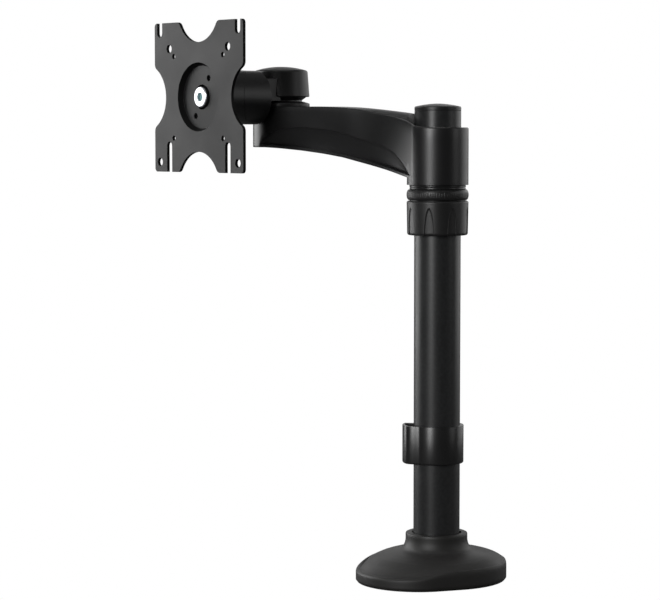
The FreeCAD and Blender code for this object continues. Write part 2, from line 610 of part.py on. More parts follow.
def build_pivot():
    for node, low, flange in (("pivot_bush_lower", "dims.pivot_recess_top", False),
                              ("pivot_bush_upper", "dims.front_hub_top - dims.pivot_bush_length", True)):
        high = "%s + dims.pivot_bush_length" % low
        on_pivot(turned(node, [
            ("dims.pivot_radius + 0.05", low), ("dims.pivot_bush_radius", low),
            ("dims.pivot_bush_radius", high), ("dims.pivot_radius + 0.05", high),
        ]))
    on_pivot(turned("swivel_washer", [
        ("dims.pivot_radius + 0.3", "dims.front_hub_top + 0.02"),
        ("dims.swivel_washer_radius", "dims.front_hub_top + 0.02"),
        ("dims.swivel_washer_radius", "dims.swivel_washer_top - 1.5"),
        ("dims.swivel_washer_radius - 4.8", "dims.swivel_washer_top"),
        ("dims.pivot_radius + 0.3", "dims.swivel_washer_top"),
    ]))

    recess = "dims.pivot_recess_top"
    springs = []
    for i in range(2):
        name = "disc_spring_%d" % i
        spring = doc.addObject("PartDesign::Body", name)
        low = "%s - 1.1 - %s" % (recess, 1.05 * i)
        turned(name, [
            ("dims.pivot_radius + 0.2", low), ("dims.pivot_recess_radius - 1", low),
            ("dims.pivot_recess_radius - 1", low + " + 1"), ("dims.pivot_radius + 0.2", low + " + 1"),
        ], spring)
        springs.append(on_pivot(spring))
    group("pivot_disc_springs", springs)

    washer_top = recess + " - 2.2"
    on_pivot(turned("pivot_washer", [
        ("dims.pivot_radius + 0.2", washer_top + " - 1.5"),
        ("dims.pivot_recess_radius - 1", washer_top + " - 1.5"),
        ("dims.pivot_recess_radius - 1", washer_top), ("dims.pivot_radius + 0.2", washer_top),
    ]))

    nut_top = washer_top + " - 1.55"
    nut = new_body("pivot_nut")
    blank = new_sketch(nut, "pivot_nut_hex", "XY_Plane", "%s - dims.pivot_nut_height" % nut_top)
    hexagon(blank, "dims.pivot_nut_width")
    pad(nut, "pivot_nut_pad", blank, "dims.pivot_nut_height")
    drill(nut, "pivot_nut_bore", "XY_Plane", "dims.pivot_radius + 0.02", "0", "0",
          "%s - dims.pivot_nut_height" % nut_top, back=True)
    on_pivot(nut)

    bolt = new_body("pivot_bolt")
    head = new_sketch(bolt, "pivot_bolt_hex", "XY_Plane", "dims.pivot_seat")
    hexagon(head, "dims.pivot_head_width")
    pad(bolt, "pivot_bolt_head", head, "dims.pivot_head_height")
    shank = new_sketch(bolt, "pivot_bolt_circle", "XY_Plane", "dims.front_hub_bottom + 1.5")
    draw_circle(shank, "dims.pivot_radius")
    pad(bolt, "pivot_bolt_shank", shank, "dims.pivot_seat - dims.front_hub_bottom - 1.5 + 1")
    on_pivot(bolt)


# ---------------------------------------------------------------- swivel head and tilt joint

def build_head():
    head = new_body("swivel_head")
    neck_low = "dims.swivel_washer_top + 0.03"
    turned("swivel_head", [
        ("0", neck_low), ("dims.head_neck_radius", neck_low),
        ("dims.head_neck_radius", neck_low + " + 1"), ("dims.head_lip_radius", "dims.head_bottom - 0.3"),
        ("dims.head_lip_radius", "dims.head_bottom - 0.05"),
        ("dims.head_core_radius", "dims.head_bottom - 0.05"),
        ("dims.head_core_radius", "dims.head_core_top"), ("0", "dims.head_core_top"),
    ], head)
    bridge = new_sketch(head, "bridge_outline", "XZ_Plane", "12")
    bridge_low, bridge_top = "dims.swivel_washer_top + 0.4", "dims.bridge_top"
    draw_outline(bridge, [
        ("-dims.bridge_half", bridge_low), ("dims.bridge_half", bridge_low),
        ("dims.bridge_half", bridge_top), ("-dims.bridge_half", bridge_top),
    ])
    pad(head, "bridge", bridge, "dims.barrel_rear - 12 + 1")
    barrel = new_sketch(head, "barrel_circle", "XZ_Plane", "dims.barrel_rear")
    draw_circle(barrel, "dims.barrel_radius", "0", "dims.tilt_height")
    pad(head, "barrel", barrel, "dims.tilt_reach + dims.knuckle_radius - dims.barrel_rear")

    # the front of the barrel is a knuckle, round about the tilt axis
    tilt_y, lift = "-dims.tilt_reach", "dims.tilt_height"
    reach = "dims.barrel_radius"
    run = "sqrt(dims.knuckle_radius ^ 2 - (dims.barrel_radius + 0.5) ^ 2)"
    edge = "(dims.barrel_radius + 0.5)"
    knuckle = new_sketch(head, "knuckle_line", "YZ_Plane")
    draw_outline(knuckle, [
        ("%s - %s" % (tilt_y, run), "%s + %s" % (lift, edge), "dims.knuckle_radius"),
        ("%s - %s" % (tilt_y, run), "%s - %s" % (lift, edge)),
        ("%s - 40" % tilt_y, "%s - %s" % (lift, edge)),
        ("%s - 40" % tilt_y, "%s + %s" % (lift, edge)),
    ])
    pocket(head, "knuckle", knuckle, midplane=True)

    slot = new_sketch(head, "tongue_slot_line", "YZ_Plane")
    inner = "(dims.tongue_half + 0.3)"
    draw_outline(slot, [
        (tilt_y, "%s + %s + 0.3" % (lift, inner)),
        ("%s - dims.knuckle_radius - 2" % tilt_y, "%s + dims.tilt_swing_half" % lift),
        ("%s - dims.knuckle_radius - 2" % tilt_y, "%s - dims.tilt_swing_half" % lift),
        (tilt_y, "%s - %s - 0.3" % (lift, inner)),
    ])
    slot_width = "dims.tongue_width + 2 * dims.tilt_washer + 0.4"
    pocket(head, "tongue_slot", slot, slot_width, midplane=True)
    drill(head, "tongue_slot_end", "YZ_Plane", inner, tilt_y, lift, length=slot_width,
          midplane=True)

    drill(head, "tilt_pin_blind", "YZ_Plane", "dims.tilt_pin_radius + 0.05", tilt_y, lift,
          length="15", back=True)
    drill(head, "tilt_pin_hole", "YZ_Plane", "dims.tilt_pin_radius + 0.05", tilt_y, lift)
    drill(head, "tilt_head_seat", "YZ_Plane", "dims.tilt_head_radius + 0.3", tilt_y, lift,
          "-14.5")
    drill(head, "pivot_hole", "XY_Plane", "dims.pivot_radius + 0.05", "0", "0", neck_low, back=True)
    drill(head, "pivot_head_seat", "XY_Plane", "12.5", "0", "0", "dims.pivot_seat", back=True)
    on_pivot(head)

    cap = turned("swivel_cap", [
        ("dims.head_core_radius + 0.1", "dims.head_bottom"),
        ("dims.cap_bottom_radius - 0.8", "dims.head_bottom", "0.8"),
        ("dims.cap_bottom_radius", "dims.head_bottom + 0.8"),
        ("dims.cap_top_radius", "dims.cap_edge - 2", "2.2"),
        ("dims.cap_top_radius - 2", "dims.cap_edge", "64"), ("1", "dims.cap_top"),
        ("0", "dims.cap_top"),
        ("0", "dims.head_core_top + 0.1"),
        ("dims.head_core_radius + 0.1", "dims.head_core_top + 0.1"),
    ])
    window = new_sketch(cap, "cap_window_line", "XZ_Plane", "10")
    side = "(dims.bridge_half + 0.2)"
    draw_outline(window, [
        ("-" + side, "dims.head_bottom - 1"), (side, "dims.head_bottom - 1"),
        (side, bridge_top + " + 0.2"), ("-" + side, bridge_top + " + 0.2"),
    ])
    pocket(cap, "cap_window", window, back=True)
    on_pivot(cap)


def build_tilt():
    socket = new_body("tilt_socket")
    tilt_y, lift = "-dims.tilt_reach", "dims.tilt_height"
    disc = new_sketch(socket, "socket_circle", "XZ_Plane", "dims.tilt_reach + 6")
    draw_circle(disc, "dims.socket_radius", "0", lift)
    pad(socket, "socket_barrel", disc, "dims.socket_front - dims.tilt_reach - 6")
    hollow = new_sketch(socket, "socket_hollow_circle", "YZ_Plane")
    draw_circle(hollow, "dims.knuckle_radius + dims.knuckle_gap", tilt_y, lift)
    pocket(socket, "socket_hollow", hollow, midplane=True)
    tongue = new_sketch(socket, "tongue_line", "YZ_Plane")
    front = "-dims.socket_front + 6"
    draw_outline(tongue, [
        (tilt_y, "%s + dims.tongue_half" % lift),
        (front, "%s + dims.tongue_half" % lift),
        (front, "%s - dims.tongue_half" % lift),
        (tilt_y, "%s - dims.tongue_half" % lift),
    ])
    pad(socket, "tongue", tongue, "dims.tongue_width", midplane=True)
    eye = new_sketch(socket, "tongue_eye_circle", "YZ_Plane")
    draw_circle(eye, "dims.tongue_half", tilt_y, lift)
    pad(socket, "tongue_eye", eye, "dims.tongue_width", midplane=True)
    drill(socket, "tongue_hole", "YZ_Plane", "dims.tilt_pin_radius + 0.05", tilt_y, lift,
          midplane=True)
    drill(socket, "spindle_hole", "XZ_Plane", "dims.spindle_radius + 0.02", "0", lift,
          "dims.socket_front", "dims.spindle_depth")
    on_pivot(socket)

    def across(body):
        return place(body, PIVOT_X, PIVOT_Y + " - dims.tilt_reach", lift, (0, 1, 0), "90")

    washers = []
    for i, side in enumerate((1, -1)):
        name = "tilt_washer_%d" % i
        washer = doc.addObject("PartDesign::Body", name)
        low = "%d * (dims.tongue_width / 2 + 0.05 + dims.tilt_washer / 2) - dims.tilt_washer / 2" % side
        turned(name, [
            ("dims.tilt_pin_radius + 0.1", low), ("dims.tongue_half - 0.2", low),
            ("dims.tongue_half - 0.2", low + " + dims.tilt_washer"),
            ("dims.tilt_pin_radius + 0.1", low + " + dims.tilt_washer"),
        ], washer)
        washers.append(across(washer))
    group("tilt_friction_washers", washers)

    across(turned("tilt_bolt", [
        ("0", "-18"), ("1.6", "-18"), ("1.6", "-20"), ("dims.tilt_head_radius", "-20"),
        ("dims.tilt_head_radius", "-14.6"), ("dims.tilt_pin_radius", "-14.6"),
        ("dims.tilt_pin_radius", "14.5"), ("0", "14.5"),
    ]))

    head_top = "(dims.plate_face - dims.screw_sink)"
    head_low = head_top + " - dims.spindle_head_height"
    head = "dims.spindle_head_radius"
    screw = turned("spindle_screw", [
        ("0", "dims.socket_front - dims.spindle_depth + 0.2"),
        ("dims.spindle_radius - 0.03", "dims.socket_front - dims.spindle_depth + 0.2"),
        ("dims.spindle_radius - 0.03", head_low), (head, head_low), (head, head_top + " - 0.7"),
        (head + " - 0.7", head_top), ("0", head_top),
    ])
    key = new_sketch(screw, "key_hex", "XY_Plane", head_top)
    hexagon(key, "dims.spindle_key")
    pocket(screw, "key_socket", key, "dims.spindle_key_depth")
    on_spindle(screw)
    plug_low = head_top + " - dims.spindle_key_depth + 0.02"
    on_spindle(turned("spindle_plug", [
        ("0", plug_low), ("dims.spindle_key / 2 - 0.1", plug_low),
        ("dims.spindle_key / 2 - 0.1", plug_low + " + dims.plug_height"),
        ("0", plug_low + " + dims.plug_height"),
    ]))


# ---------------------------------------------------------------- rotation joint and screen plate

def build_rotor():
    disc_back = "dims.socket_front + 0.05"
    on_spindle(turned("rotation_friction_disc", [
        ("dims.spindle_radius + 0.2", disc_back), ("dims.rotor_radius - 1.5", disc_back),
        ("dims.rotor_radius - 1.5", disc_back + " + dims.friction_disc"),
        ("dims.spindle_radius + 0.2", disc_back + " + dims.friction_disc"),
    ]))
    rear = disc_back + " + dims.friction_disc + 0.05"
    front = rear + " + dims.rotor_thickness"
    pocket_floor = front + " - dims.rotor_pocket_depth"
    rotor = turned("plate_rotor", [
        ("dims.spindle_radius + 0.05", rear), ("dims.rotor_radius", rear),
        ("dims.rotor_radius", front), ("dims.rotor_pocket_radius", front),
        ("dims.rotor_pocket_radius", pocket_floor), ("dims.spindle_radius + 0.05", pocket_floor),
    ])
    screws = []
    for i in range(2):
        angle = "(dims.rotor_screw_angle + %d) * 1deg" % (180 * i)
        x = "dims.rotor_screw_circle * cos(%s)" % angle
        y = "dims.rotor_screw_circle * sin(%s)" % angle
        drill(rotor, "rotor_thread_%d" % i, "XY_Plane", "dims.rotor_screw_radius", x, y, rear,
              back=True)
        name = "rotor_screw_%d" % i
        screw = doc.addObject("PartDesign::Body", name)
        end = "dims.plate_face - dims.dish_depth - 0.9"
        turned(name, [
            ("0", rear + " + 1"), ("dims.rotor_screw_radius - 0.05", rear + " + 1"),
            ("dims.rotor_screw_radius - 0.05", end), ("1.1", end), ("1.1", end + " - 2"),
            ("0", end + " - 2"),
        ], screw)
        place(screw, PIVOT_X + " + " + x, PIVOT_Y, "dims.tilt_height + " + y, (1, 0, 0), "90")
        screws.append(screw)
    on_spindle(rotor)
    group("rotor_screws", screws)

    washer_low = pocket_floor + " + 0.05"
    on_spindle(turned("spindle_washer", [
        ("dims.spindle_radius + 0.1", washer_low), ("dims.rotor_pocket_radius - 0.2", washer_low),
        ("dims.rotor_pocket_radius - 0.2", washer_low + " + dims.screw_washer"),
        ("dims.spindle_radius + 0.1", washer_low + " + dims.screw_washer"),
    ]))


def notch_corners(along, edge, depth, radius):
    """Where a round notch of this depth meets a straight edge at distance `edge` from the centre."""
    centre = "(%s - %s + %s)" % (edge, depth, radius)
    half = "sqrt(%s ^ 2 - (%s - %s) ^ 2)" % (radius, centre, edge)
    return half


def build_plate():
    plate = new_body("vesa_plate")
    w, t = "dims.plate_half_width", "dims.plate_half_height"
    top_half = notch_corners("x", t, "dims.top_notch_depth", "dims.top_notch_radius")
    side_half = notch_corners("y", w, "dims.side_notch_depth", "dims.side_notch_radius")
    back = "dims.plate_face - dims.plate_sheet"
    sheet_sketch = new_sketch(plate, "plate_outline", "XY_Plane", back)
    minus = "-1 * %s"
    top_bend, side_bend = "-dims.top_notch_radius", "-dims.side_notch_radius"
    draw_outline(sheet_sketch, [
        (w, minus % t), (w, minus % side_half, side_bend), (w, side_half),
        (w, t), (top_half, t, top_bend), (minus % top_half, t),
        (minus % w, t), (minus % w, side_half, side_bend), (minus % w, minus % side_half),
        (minus % w, minus % t), (minus % top_half, minus % t, top_bend), (top_half, minus % t),
    ])
    pad(plate, "plate_sheet", sheet_sketch, "dims.plate_sheet")

    boss = new_sketch(plate, "dish_boss_circle", "XY_Plane", back + " - dims.dish_depth")
    draw_circle(boss, "dims.dish_radius + 1")
    pad(plate, "dish_boss", boss, "dims.dish_depth + 0.5")
    dish = new_sketch(plate, "dish_section", "XZ_Plane")
    face = "dims.plate_face"
    draw_outline(dish, [
        ("0", face + " - dims.dish_depth"), ("dims.dish_floor_radius", face + " - dims.dish_depth"),
        ("dims.dish_radius", face), ("dims.dish_radius", face + " + 1"), ("0", face + " + 1"),
    ])
    groove = plate.newObject("PartDesign::Groove", "dish")
    groove.Profile = dish
    groove.ReferenceAxis = (dish, ["V_Axis"])
    groove.Angle = 360
    doc.recompute()
    drill(plate, "nut_opening", "XY_Plane", "dims.rotor_pocket_radius", "0", "0", "30", back=True)
    for i in range(2):
        angle = "(dims.rotor_screw_angle + %d) * 1deg" % (180 * i)
        drill(plate, "dish_hole_%d" % i, "XY_Plane", "dims.rotor_screw_radius",
              "dims.rotor_screw_circle * cos(%s)" % angle,
              "dims.rotor_screw_circle * sin(%s)" % angle, "30", back=True)

    hole = "dims.vesa_hole_radius"
    for side in (1, -1):
        small, large = "%d * dims.vesa_small / 2" % side, "%d * dims.vesa_large / 2" % side
        drill(plate, "small_hole_%d" % (side + 1), "XY_Plane", hole, small, "dims.vesa_small / 2",
              "30", back=True)
        drill(plate, "large_hole_%d" % (side + 1), "XY_Plane", hole, large, "-dims.vesa_large / 2",
              "30", back=True)
        for name, x, y, away in (("large_slot", large, "dims.vesa_large / 2", 1),
                                 ("small_slot", small, "-dims.vesa_small / 2", -1)):
            sketch = new_sketch(plate, "%s_%d_line" % (name, side + 1), "XY_Plane", "30")
            left, right = "%s - %s" % (x, hole), "%s + %s" % (x, hole)
            far = "%d * (dims.plate_half_height + 5)" % away
            draw_outline(sketch, [(right, y), (left, y), (left, far), (right, far)])
            pocket(plate, "%s_%d" % (name, side + 1), sketch, back=True)
            drill(plate, "%s_end_%d" % (name, side + 1), "XY_Plane", hole, x, y, "30", back=True)
    for across in (1, -1):
        for up in (1, -1):
            drill(plate, "spare_hole_%d_%d" % (across + 1, up + 1), "XY_Plane",
                  "dims.spare_hole_radius", "%d * dims.spare_hole_pitch / 2" % across,
                  "%d * dims.spare_hole_pitch / 2" % up, "30", back=True)

    def round_edges(name, radius, chosen):
        """Round the upright edges whose foot is at a chosen place."""
        edges = []
        for i, edge in enumerate(plate.Shape.Edges, start=1):
            a, b = edge.Vertexes[0].Point, edge.Vertexes[-1].Point
            upright = abs(a.x - b.x) < 1e-6 and abs(a.y - b.y) < 1e-6 and abs(a.z - b.z) > 1
            if upright and chosen(abs(a.x), abs(a.y)):
                edges.append("Edge%d" % i)
        sharp = plate.Tip
        rounds = plate.newObject("PartDesign::Fillet", name)
        rounds.Base = (sharp, edges)
        rounds.setExpression("Radius", radius)
        doc.recompute()

    half_wide, half_tall = number(dish, w), number(dish, t)
    top_meets, side_meets = number(dish, top_half), number(dish, side_half)
    round_edges("notch_rounds", "dims.notch_corner", lambda x, y: min(
        abs(y - half_tall) + abs(x - top_meets), abs(x - half_wide) + abs(y - side_meets)) < 0.1)
    round_edges("corner_rounds", "dims.plate_corner",
                lambda x, y: abs(y - half_tall) + abs(x - half_wide) < 0.1)
    on_spindle(plate)


# ---------------------------------------------------------------- build, check and write

def check_document():
    """Every object must have recomputed, and every sub-part must be a valid closed shape."""
    faults = [item.Label for item in doc.Objects
              if "Invalid" in item.State or "Error" in item.State]
    for node, item in nodes.items():
        if item.Shape.isNull() or not item.Shape.isValid() or not item.Shape.Solids:
            faults.append(node)
    if faults:
        raise RuntimeError("these objects failed: " + ", ".join(faults))


def write_parts():
    os.makedirs(PARTS_FOLDER, exist_ok=True)
    for node, item in nodes.items():
        item.Shape.exportStep(os.path.join(PARTS_FOLDER, node + ".step"))
        box = item.Shape.BoundBox
        print("%-24s %2d solid(s) %10.1f mm3   z %.2f to %.2f" % (
            node, len(item.Shape.Solids), item.Shape.Volume, box.ZMin, box.ZMax))


build_base()
build_post()
build_clip()
build_collar()
build_arm()
build_pivot()
build_head()
build_tilt()
build_rotor()
build_plate()
doc.recompute()
check_document()
write_parts()
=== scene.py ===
"""Monitor arm on a round post, with one swinging arm, a swivel and tilt head and a screen plate."""
import json
import math

import bmesh
import bpy
import numpy as np
from mathutils import Matrix, Vector

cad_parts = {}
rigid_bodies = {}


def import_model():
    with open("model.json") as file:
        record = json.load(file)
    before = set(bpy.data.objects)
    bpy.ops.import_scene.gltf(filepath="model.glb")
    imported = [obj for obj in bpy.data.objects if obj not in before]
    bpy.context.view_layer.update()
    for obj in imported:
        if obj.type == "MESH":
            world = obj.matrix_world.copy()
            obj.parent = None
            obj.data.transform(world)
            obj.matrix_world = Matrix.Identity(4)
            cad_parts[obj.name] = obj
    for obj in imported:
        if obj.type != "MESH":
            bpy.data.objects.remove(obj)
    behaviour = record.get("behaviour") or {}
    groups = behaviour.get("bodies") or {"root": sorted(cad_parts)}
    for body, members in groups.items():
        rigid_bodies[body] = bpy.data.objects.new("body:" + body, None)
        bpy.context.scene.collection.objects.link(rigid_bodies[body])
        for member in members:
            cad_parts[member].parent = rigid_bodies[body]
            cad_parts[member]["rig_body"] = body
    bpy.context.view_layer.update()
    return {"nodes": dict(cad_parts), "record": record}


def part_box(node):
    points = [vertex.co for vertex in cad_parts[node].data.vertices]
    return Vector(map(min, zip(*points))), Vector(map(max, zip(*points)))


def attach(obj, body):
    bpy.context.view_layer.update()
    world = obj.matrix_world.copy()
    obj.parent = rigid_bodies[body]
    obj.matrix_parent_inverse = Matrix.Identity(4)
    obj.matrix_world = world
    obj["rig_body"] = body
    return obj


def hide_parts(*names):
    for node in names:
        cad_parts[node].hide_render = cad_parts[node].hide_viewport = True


MM = 0.001
TURN = 2 * math.pi

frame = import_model()
nodes = frame["nodes"]


# ---------------------------------------------------------------- places, from the frame

def span(node, axis):
    low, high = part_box(node)
    return low[axis], high[axis]


def middle(node):
    low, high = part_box(node)
    return (low + high) / 2


pivot = middle("swivel_washer")
arm_length = math.hypot(pivot.x, pivot.y)
arm_heading = math.atan2(pivot.y, pivot.x)


# ---------------------------------------------------------------- materials

def new_material(name):
    material = bpy.data.materials.new(name)
    material.use_nodes = True
    tree = material.node_tree
    return material, tree, tree.nodes["Principled BSDF"]


def add_node(tree, kind, **settings):
    node = tree.nodes.new(kind)
    for key, value in settings.items():
        if key.startswith("in_"):
            node.inputs[key[3:].replace("_", " ")].default_value = value
        else:
            setattr(node, key, value)
    return node


def noise(tree, scale, detail=3.0, roughness=0.5):
    """Noise in object space, in cycles per metre."""
    where = add_node(tree, "ShaderNodeTexCoord")
    texture = add_node(tree, "ShaderNodeTexNoise", in_Scale=scale, in_Detail=detail,
                       in_Roughness=roughness)
    tree.links.new(where.outputs["Object"], texture.inputs["Vector"])
    return texture.outputs["Fac"]


def spread(tree, factor, low, high, start=0.3, end=0.7):
    """Map a 0 to 1 factor to a range of values."""
    node = add_node(tree, "ShaderNodeMapRange", clamp=True)
    for name, value in (("From Min", start), ("From Max", end), ("To Min", low), ("To Max", high)):
        node.inputs[name].default_value = value
    tree.links.new(factor, node.inputs["Value"])
    return node.outputs["Result"]


def blend_colours(tree, factor, low, high):
    node = add_node(tree, "ShaderNodeMix", data_type="RGBA")
    node.inputs["A"].default_value = (*low, 1)
    node.inputs["B"].default_value = (*high, 1)
    tree.links.new(factor, node.inputs["Factor"])
    return node.outputs["Result"]


CLOUD_SCALE = 22
SCUFF_SCALE = 420


def worn_edges(tree, amount):
    """A factor that rises on convex edges, broken up by noise."""
    geometry = add_node(tree, "ShaderNodeNewGeometry")
    edge = spread(tree, geometry.outputs["Pointiness"], 0, amount, 0.53, 0.62)
    broken = spread(tree, noise(tree, SCUFF_SCALE, 4), 0.2, 1.0, 0.42, 0.62)
    node = add_node(tree, "ShaderNodeMath", operation="MULTIPLY", use_clamp=True)
    tree.links.new(edge, node.inputs[0])
    tree.links.new(broken, node.inputs[1])
    return node.outputs["Value"]


def finish_material(name, colour, roughness, grain=1500.0, bump=0.05, depth=0.02, vary=0.25,
                    metallic=0.0, specular=0.5, wear=0.25):
    """Painted, moulded or plated surface.

    colour is the base in linear light, vary how far it wanders, grain the texture's cycles per
    metre and depth its height in millimetres."""
    material, tree, shader = new_material(name)
    cloudy = noise(tree, CLOUD_SCALE, 3)
    fine = noise(tree, grain, 4, 0.6)
    dark = tuple(c * (1 - vary) for c in colour)
    light = tuple(c * (1 + vary) for c in colour)
    base = blend_colours(tree, spread(tree, fine, 0, 1), dark, light)
    edge = add_node(tree, "ShaderNodeMix", data_type="RGBA")
    edge.inputs["B"].default_value = (*(min(1.0, c * 2.2 + 0.01) for c in colour), 1)
    tree.links.new(worn_edges(tree, wear), edge.inputs["Factor"])
    tree.links.new(base, edge.inputs["A"])
    tree.links.new(edge.outputs["Result"], shader.inputs["Base Color"])
    rough = spread(tree, cloudy, roughness * 0.9, min(1.0, roughness * 1.12))
    tree.links.new(rough, shader.inputs["Roughness"])
    shader.inputs["Metallic"].default_value = metallic
    shader.inputs["Specular IOR Level"].default_value = specular
    relief = add_node(tree, "ShaderNodeBump", in_Strength=bump, in_Distance=depth * MM)
    tree.links.new(fine, relief.inputs["Height"])
    tree.links.new(relief.outputs["Normal"], shader.inputs["Normal"])
    return material


def paint_side_shade(material, low, high):
    """Painted shade: a darker colour and weaker specular on faces that stand square to a plate's
    broad faces, so its edges and dish wall read as shaded.
    """
    tree = material.node_tree
    shader = tree.nodes["Principled BSDF"]
    where = add_node(tree, "ShaderNodeTexCoord")
    split = add_node(tree, "ShaderNodeSeparateXYZ")
    tree.links.new(where.outputs["Normal"], split.inputs["Vector"])
    squareness = add_node(tree, "ShaderNodeMath", operation="ABSOLUTE")
    tree.links.new(split.outputs["Y"], squareness.inputs[0])
    broad = spread(tree, squareness.outputs["Value"], 0, 1, 0.5, 0.9)
    colour = shader.inputs["Base Color"].links[0].from_socket
    # Painted shade: side faces take the dark colour low and a weak specular, broad faces keep their
    # own colour and get specular high.
    side_shade_mix = add_node(tree, "ShaderNodeMix", data_type="RGBA")
    side_shade_mix.inputs["A"].default_value = (low, low, low, 1)
    tree.links.new(broad, side_shade_mix.inputs["Factor"])
    tree.links.new(colour, side_shade_mix.inputs["B"])
    tree.links.new(side_shade_mix.outputs["Result"], shader.inputs["Base Color"])
    tree.links.new(spread(tree, broad, 0.08, high, 0, 1), shader.inputs["Specular IOR Level"])


finishes = {
    "cast_black": finish_material("cast_black", (0.007, 0.007, 0.0074), 0.37, 1300, 0.25, 0.02,
                                  specular=0.6),
    "post_black": finish_material("post_black", (0.012, 0.0125, 0.013), 0.36, 1700, 0.25, 0.015),
    "plate_black": finish_material("plate_black", (0.0075, 0.0075, 0.0078), 0.5, 2100, 0.4, 0.03,
                                   specular=0.4),
    "cover_black": finish_material("cover_black", (0.013, 0.0125, 0.0118), 0.52, 1500, 0.5, 0.04),
    "trim_black": finish_material("trim_black", (0.010, 0.010, 0.0102), 0.4, 1600, 0.3, 0.02),
    "gloss_black": finish_material("gloss_black", (0.010, 0.010, 0.0102), 0.3, 900, 0.1, 0.01),
    "rubber_black": finish_material("rubber_black", (0.008, 0.008, 0.008), 0.8, 1200, 0.5, 0.05),
    "zinc": finish_material("zinc", (0.62, 0.63, 0.66), 0.28, 900, 0.15, 0.02, 0.12, 1.0, wear=0.1),
    "black_steel": finish_material("black_steel", (0.02, 0.02, 0.022), 0.42, 1400, 0.2, 0.02,
                                   metallic=0.6),
    "raw_steel": finish_material("raw_steel", (0.42, 0.42, 0.43), 0.38, 700, 0.2, 0.02, 0.15, 1.0,
                                 wear=0.1),
    "acetal": finish_material("acetal", (0.62, 0.60, 0.55), 0.45, 900, 0.2, 0.02, 0.06),
    "nylon_teal": finish_material("nylon_teal", (0.20, 0.37, 0.38), 0.35, 900, 0.2, 0.02, 0.15),
}
# Painted shade on the plate's edges and dish wall.
paint_side_shade(finishes["plate_black"], 0.004, 0.4)
node_slots = {part["node"]: part["material_slot"] for part in frame["record"]["subparts"]}
for node_name, node_object in nodes.items():
    node_object.data.materials.clear()
    node_object.data.materials.append(finishes[node_slots[node_name]])


# ---------------------------------------------------------------- mesh helpers

def flat_faces_kept(mesh):
    """Weight the shading by face area, so a wide flat face stays flat beside its rounded edge."""
    holder = bpy.data.objects.new("holder", mesh)
    bpy.context.scene.collection.objects.link(holder)
    step = holder.modifiers.new("weighted", "WEIGHTED_NORMAL")
    step.mode = "FACE_AREA"
    step.weight = 100
    step.keep_sharp = True
    bpy.context.view_layer.update()
    result = bpy.data.meshes.new_from_object(
        holder.evaluated_get(bpy.context.evaluated_depsgraph_get()))
    bpy.data.objects.remove(holder)
    return result


def new_piece(name, mesh, node, smooth=34, flat=False):
    """A refined mesh that stands for a CAD node and rides on its body.

    Edges sharper than smooth degrees stay sharp; flat keeps broad faces flat."""
    mesh.polygons.foreach_set("use_smooth", [True] * len(mesh.polygons))
    mesh.set_sharp_from_angle(angle=math.radians(smooth))
    if flat:
        mesh = flat_faces_kept(mesh)
    piece = bpy.data.objects.new(name, mesh)
    bpy.context.scene.collection.objects.link(piece)
    slot = node_slots[node]
    mesh.materials.clear()
    mesh.materials.append(finishes[slot])
    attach(piece, nodes[node]["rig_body"])
    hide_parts(node)


def grid_faces(rows, columns):
    """Quads between neighbouring rows of a grid whose last column joins the first."""
    faces = []
    for i in range(rows - 1):
        here, above = i * columns, (i + 1) * columns
        for j in range(columns):
            k = (j + 1) % columns
            faces.append((here + j, here + k, above + k, above + j))
    return faces


def ring_mesh(name, points):
    """Mesh of a (rows, columns, 3) array that closes on itself both ways."""
    rows, columns = points.shape[:2]
    faces = grid_faces(rows, columns)
    last = (rows - 1) * columns
    for j in range(columns):
        k = (j + 1) % columns
        faces.append((last + j, last + k, k, j))
    mesh = bpy.data.meshes.new(name)
    mesh.from_pydata(points.reshape(-1, 3).tolist(), [], faces)
    return tidy_mesh(mesh)


def tidy_mesh(mesh, weld=1e-6):
    """Weld touching points, drop empty faces and turn every face outwards."""
    work = bmesh.new()
    work.from_mesh(mesh)
    bmesh.ops.remove_doubles(work, verts=work.verts, dist=weld)
    bmesh.ops.dissolve_degenerate(work, edges=work.edges, dist=weld)
    bmesh.ops.recalc_face_normals(work, faces=work.faces)
    work.to_mesh(mesh)
    work.free()
    mesh.update()
    return mesh


def turned_mesh(name, profile, segments=128, shape=None):
    """Closed solid of revolution about Z from (radius, height) points in order round its section.

    shape(radius, angle, height) may return a new radius and height, for flutes and marks."""
    angles = np.linspace(0, TURN, segments, endpoint=False)
    points = np.zeros((len(profile), segments, 3))
    for i, (radius, height) in enumerate(profile):
        r, z = np.full(segments, radius), np.full(segments, height)
        if shape:
            r, z = shape(r, angles, z)
        points[i] = np.stack([r * np.cos(angles), r * np.sin(angles), z], axis=1)
    return ring_mesh(name, points)


def boolean(target, tool, operation="DIFFERENCE"):
    """Apply a boolean to a closed mesh and throw the tool away."""
    holder = bpy.data.objects.new("target", target)
    cutter = bpy.data.objects.new("tool", tool)
    for item in (holder, cutter):
        bpy.context.scene.collection.objects.link(item)
    step = holder.modifiers.new("cut", "BOOLEAN")
    step.operation = operation
    step.solver = "MANIFOLD"
    step.object = cutter
    bpy.context.view_layer.update()
    result = bpy.data.meshes.new_from_object(
        holder.evaluated_get(bpy.context.evaluated_depsgraph_get()))
    for item in (holder, cutter):
        bpy.data.objects.remove(item)
    return result


def cylinder_mesh(radius, low, high, centre=(0, 0), segments=96):
    """Plain cylinder along Z."""
    work = bmesh.new()
    bmesh.ops.create_cone(work, cap_ends=True, segments=segments, radius1=radius, radius2=radius,
                          depth=high - low)
    bmesh.ops.translate(work, verts=work.verts, vec=(centre[0], centre[1], (low + high) / 2))
    mesh = bpy.data.meshes.new("cylinder")
    work.to_mesh(mesh)
    work.free()
    return mesh


SHARP_ANGLE = math.radians(25)
FLAT_ANGLE = math.radians(0.4)


